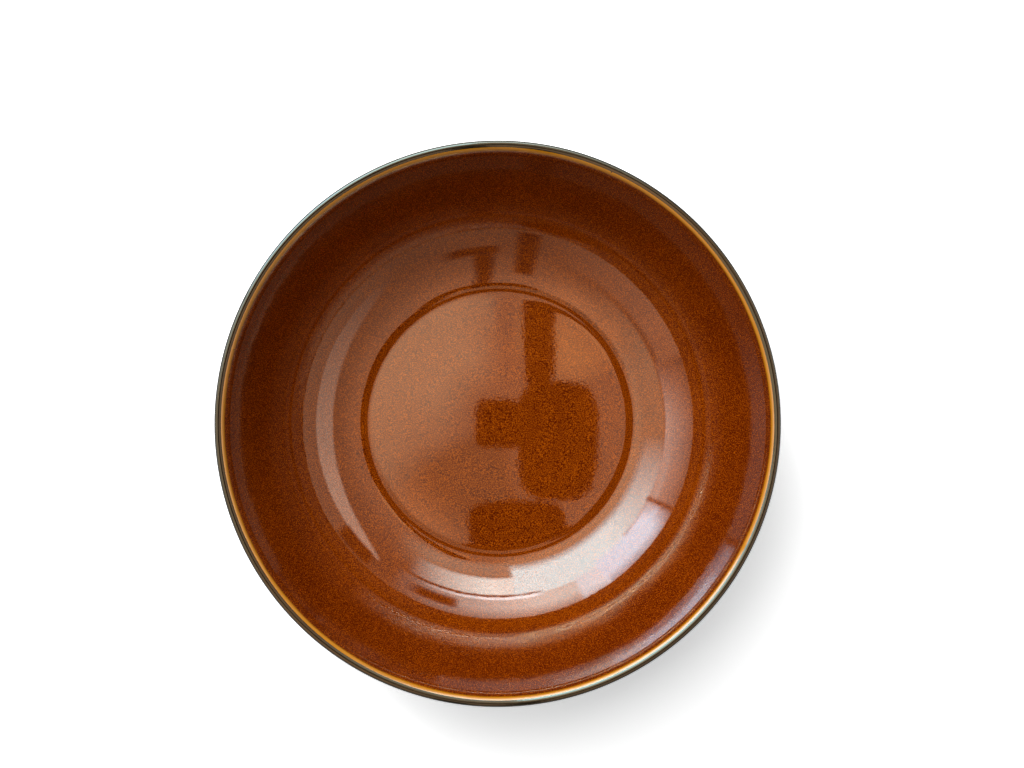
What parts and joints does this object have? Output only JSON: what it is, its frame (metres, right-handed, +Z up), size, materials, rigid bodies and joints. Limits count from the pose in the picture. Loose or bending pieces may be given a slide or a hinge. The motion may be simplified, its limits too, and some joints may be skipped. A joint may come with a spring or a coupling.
{
  "type": "salad bowl",
  "caption": "Round stoneware salad bowl with a glossy amber-brown inside, dark satin outside glaze over a rounded lip, softly domed floor and bare foot ring.",
  "frame": {"origin": "centre of the foot ring's flat underside, on the table", "axes": "+Z up along the bowl's axis of revolution; +X and +Y are any two directions across it"},
  "size_m": [0.24, 0.24, 0.068],
  "materials": {
    "bare_stoneware": "fired buff stoneware, dry and fine grained",
    "amber_gloss_glaze": "glossy amber-brown glaze with fine speckle, breaking to yellow amber on the lip",
    "dark_satin_glaze": "satin, nearly black grey-green glaze with fine speckle"
  },
  "bodies": {
    "root": {"stoneware_body": "bare_stoneware", "inside_glaze": "amber_gloss_glaze", "outside_glaze": "dark_satin_glaze", "foot_recess_glaze": "dark_satin_glaze"}
  },
  "joints": []
}
